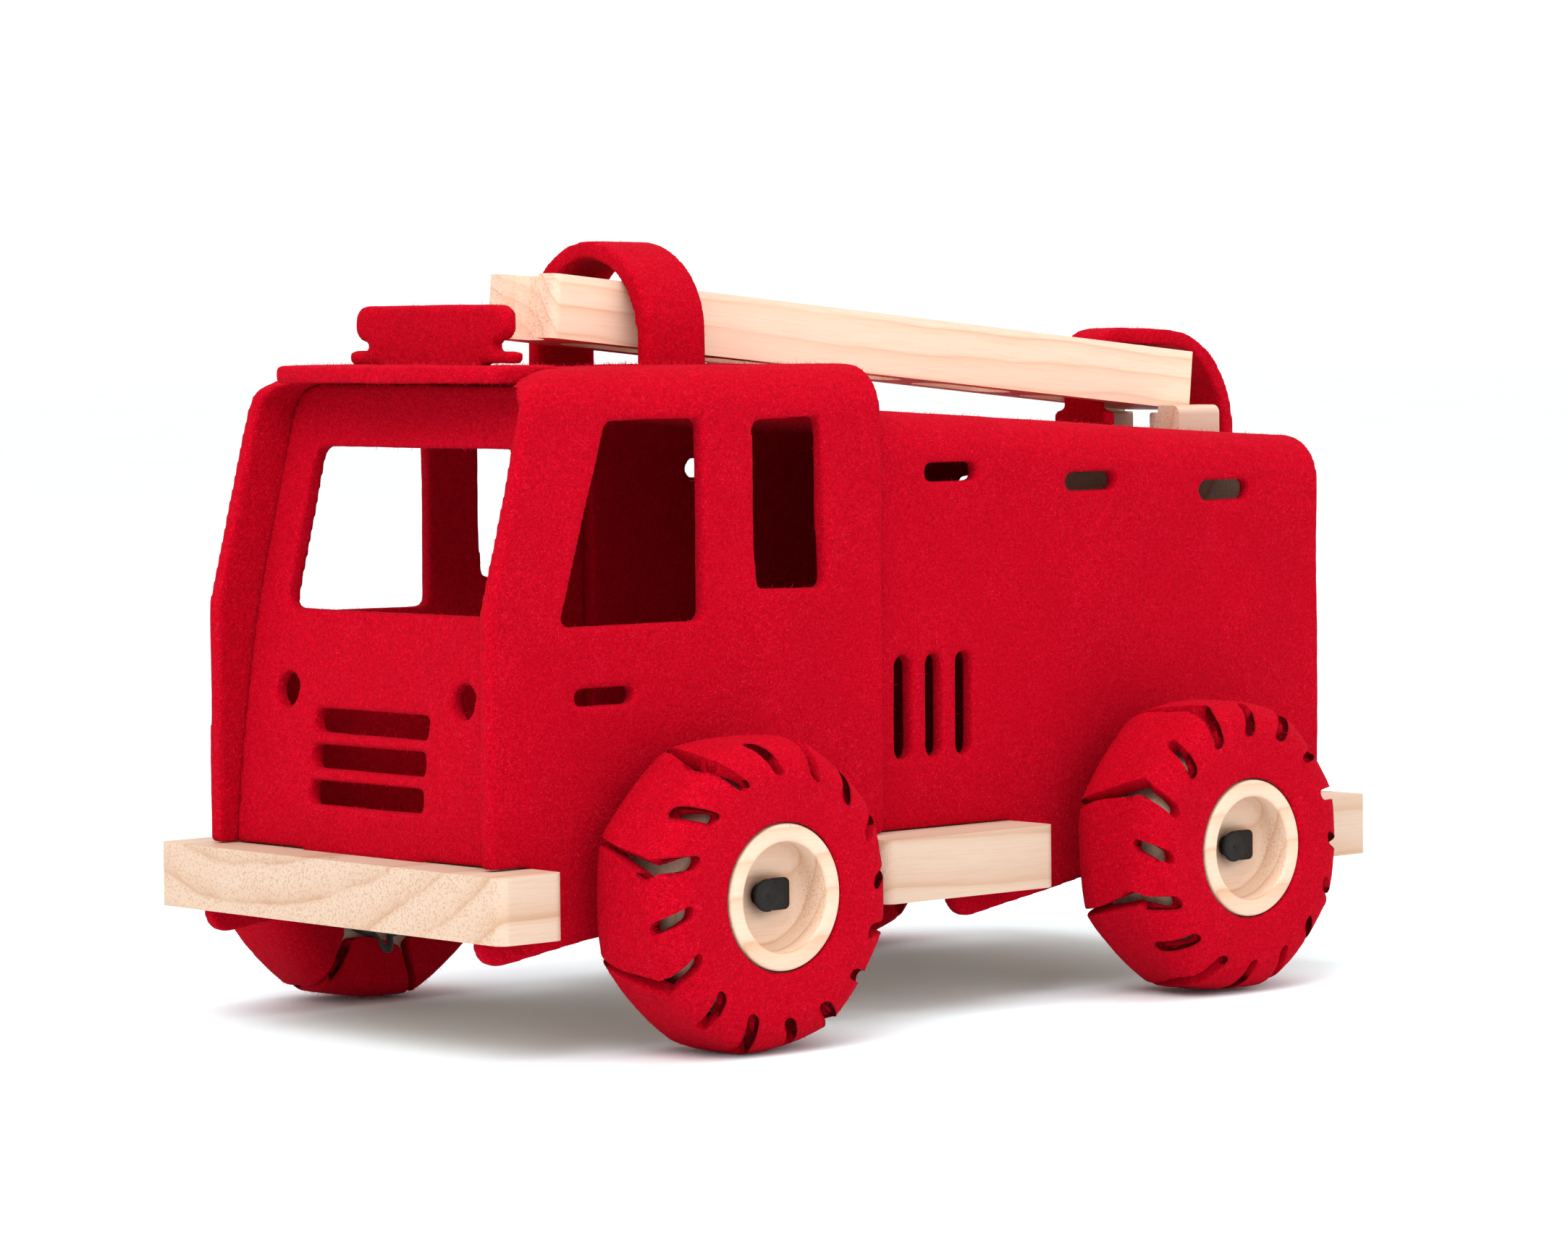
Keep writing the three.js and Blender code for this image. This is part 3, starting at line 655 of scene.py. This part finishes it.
for wood_node in WOOD_NODES:
    dress_node(wood_node, LADDER_PINE if wood_node == "ladder" else BOARD_PINE, 0.7)
for wheel_end in ENDS:
    dress_node(f"{wheel_end}_axle", STEEL, 0.3)
    for wheel_side in SIDES:
        dress_node(f"wheel_spacer_{wheel_end}_{wheel_side}", BOARD_PINE, 0.5)


# ---- studio -------------------------------------------------------------------------------
FLOOR_HALF = 14.0
# Name, place, target, size and power of each area light.
LIGHTS = (("key", (1.3, 0.6, 1.5), (0, 0, 0.1), (1.4, 1.0), 24.0),
          ("fill", (0.5, 2.2, 0.9), (0, 0, 0.1), (1.6, 1.2), 9.5),
          ("top", (-0.2, 0.2, 1.8), (0, 0, 0), (1.6, 1.6), 13.0))
SKY_STRENGTH = 1.12
CAMERA_PLACE = (1.2553, 1.3750, 0.2306)
# The camera's angles are in radians, its lens in millimetres.
CAMERA_AZIMUTH = math.radians(47.8)
CAMERA_PITCH = math.radians(3.143)
CAMERA_ROLL = -0.00961
CAMERA_LENS = 124.87


def floor_material():
    """A pale floor, a touch cool so that light thrown back by the red felt stays neutral."""
    g = Graph("pale_floor", Specular_IOR_Level=0.2)
    tone = g.noise(g.place, 3.0, 4.0)
    color = g.ramp(tone, (0.3, (0.865, 0.95, 0.985)), (0.7, (0.885, 0.965, 0.995)))
    rough = g.ramp(tone, (0.0, grey(0.7)), (1.0, grey(0.85)))
    return g.finish(color, rough, (g.noise(g.place, 900.0), 0.05, 0.0002))


def studio_floor():
    half = FLOOR_HALF
    points = [(-half, -half, 0), (half, -half, 0), (half, half, 0), (-half, half, 0)]
    mesh = mesh_from("studio_floor", points, [(0, 1, 2, 3)])
    new_object("studio_floor", mesh, floor_material())


def area_light(name, place, target, size, power):
    lamp = bpy.data.lights.new(name, "AREA")
    lamp.shape = "RECTANGLE"
    lamp.size, lamp.size_y = size
    lamp.energy = power
    light = bpy.data.objects.new(name, lamp)
    light.location = place
    light.rotation_euler = (Vector(target) - Vector(place)).to_track_quat("-Z", "Y").to_euler()
    bpy.context.scene.collection.objects.link(light)


def studio_light():
    world = bpy.data.worlds.new("studio")
    world.use_nodes = True
    background = world.node_tree.nodes["Background"]
    background.inputs["Color"].default_value = (1.0, 1.0, 1.0, 1.0)
    background.inputs["Strength"].default_value = SKY_STRENGTH
    bpy.context.scene.world = world
    for light in LIGHTS:
        area_light(*light)


def photo_camera():
    """A long lens, a little above the roof, looking at the front left corner."""
    azimuth, pitch, roll = CAMERA_AZIMUTH, CAMERA_PITCH, CAMERA_ROLL
    forward = -Vector((math.cos(azimuth) * math.cos(pitch), math.sin(azimuth) * math.cos(pitch),
                       math.sin(pitch)))
    right = forward.cross(Vector((0, 0, 1))).normalized()
    up = right.cross(forward)
    tilted_right = right * math.cos(roll) + up * math.sin(roll)
    tilted_up = up * math.cos(roll) - right * math.sin(roll)
    matrix = Matrix((tilted_right, tilted_up, -forward)).transposed().to_4x4()
    matrix.translation = Vector(CAMERA_PLACE)
    lens = bpy.data.cameras.new("camera")
    lens.sensor_width = 36.0
    lens.sensor_fit = "HORIZONTAL"
    lens.lens = CAMERA_LENS
    lens.clip_start = 0.05
    lens.clip_end = 100.0
    camera = bpy.data.objects.new("camera", lens)
    camera.matrix_world = matrix
    bpy.context.scene.collection.objects.link(camera)
    bpy.context.scene.camera = camera


studio_floor()
studio_light()
photo_camera()
bpy.context.scene.view_settings.view_transform = "Standard"
